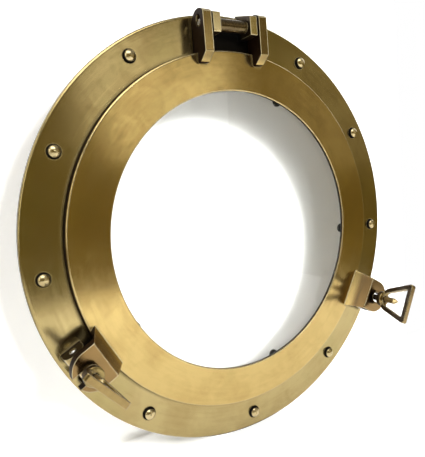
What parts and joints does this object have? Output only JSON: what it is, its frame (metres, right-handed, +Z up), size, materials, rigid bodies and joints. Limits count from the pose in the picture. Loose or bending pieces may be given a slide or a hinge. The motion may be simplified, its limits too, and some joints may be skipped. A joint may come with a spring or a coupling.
{
  "type": "round window",
  "caption": "Round porthole window in antique brass: a flat ring frame with a glazed door ring hinged at the top, clamped shut by swing bolts with loop nuts.",
  "frame": {"origin": "centre of the ring on the flange's back face, the plane of the wall", "axes": "+Y into the wall, +Z up, +X to the right as seen from the front; the window looks along -Y"},
  "size_m": [0.385, 0.0858, 0.3865],
  "materials": {
    "antique_brass": "satin brass with brown patina",
    "bolt_brass": "polished brass, dark in the recesses",
    "bright_steel": "turned, slightly dulled",
    "clear_glass": "clear float glass",
    "black_rubber": "matt",
    "black_steel": "blackened steel"
  },
  "bodies": {
    "frame": {"outer_frame": "antique_brass", "fixing_bolts": "bolt_brass", "hinge_pin": "bright_steel", "hinge_barrel": "antique_brass", "dog_pin_left": "bright_steel", "dog_pin_right": "bright_steel"},
    "door": {"door_ring": "antique_brass", "glass_gasket": "black_rubber", "glass_pane": "clear_glass", "glass_clip_1": "black_steel", "glass_clip_2": "black_steel", "glass_clip_3": "black_steel", "glass_clip_4": "black_steel", "glass_clip_5": "black_steel", "clip_screws": "black_steel"},
    "dog_left": {"dog_bolt_left": "bolt_brass"},
    "nut_left": {"loop_nut_left": "antique_brass"},
    "dog_right": {"dog_bolt_right": "bolt_brass"},
    "nut_right": {"loop_nut_right": "antique_brass"}
  },
  "joints": [
    {"name": "door_hinge", "type": "hinge", "parent": "frame", "child": "door", "pos_m": [0, -0.0178, 0.1795], "axis": [-1, 0, 0], "range_deg": [0, 110]},
    {"name": "dog_left_swing", "type": "hinge", "parent": "frame", "child": "dog_left", "pos_m": [-0.15789, -0.014, -0.08219], "axis": [0.4617, 0, -0.887], "range_deg": [0, 90]},
    {"name": "nut_left_turn", "type": "hinge", "parent": "dog_left", "child": "nut_left", "pos_m": [-0.15789, -0.0364, -0.08219], "axis": [0, -1, 0], "continuous": true},
    {"name": "dog_right_swing", "type": "hinge", "parent": "frame", "child": "dog_right", "pos_m": [0.1529, -0.014, -0.09114], "axis": [0.512, 0, 0.859], "range_deg": [0, 90]},
    {"name": "nut_right_turn", "type": "hinge", "parent": "dog_right", "child": "nut_right", "pos_m": [0.1529, -0.0364, -0.09114], "axis": [0, -1, 0], "continuous": true}
  ]
}
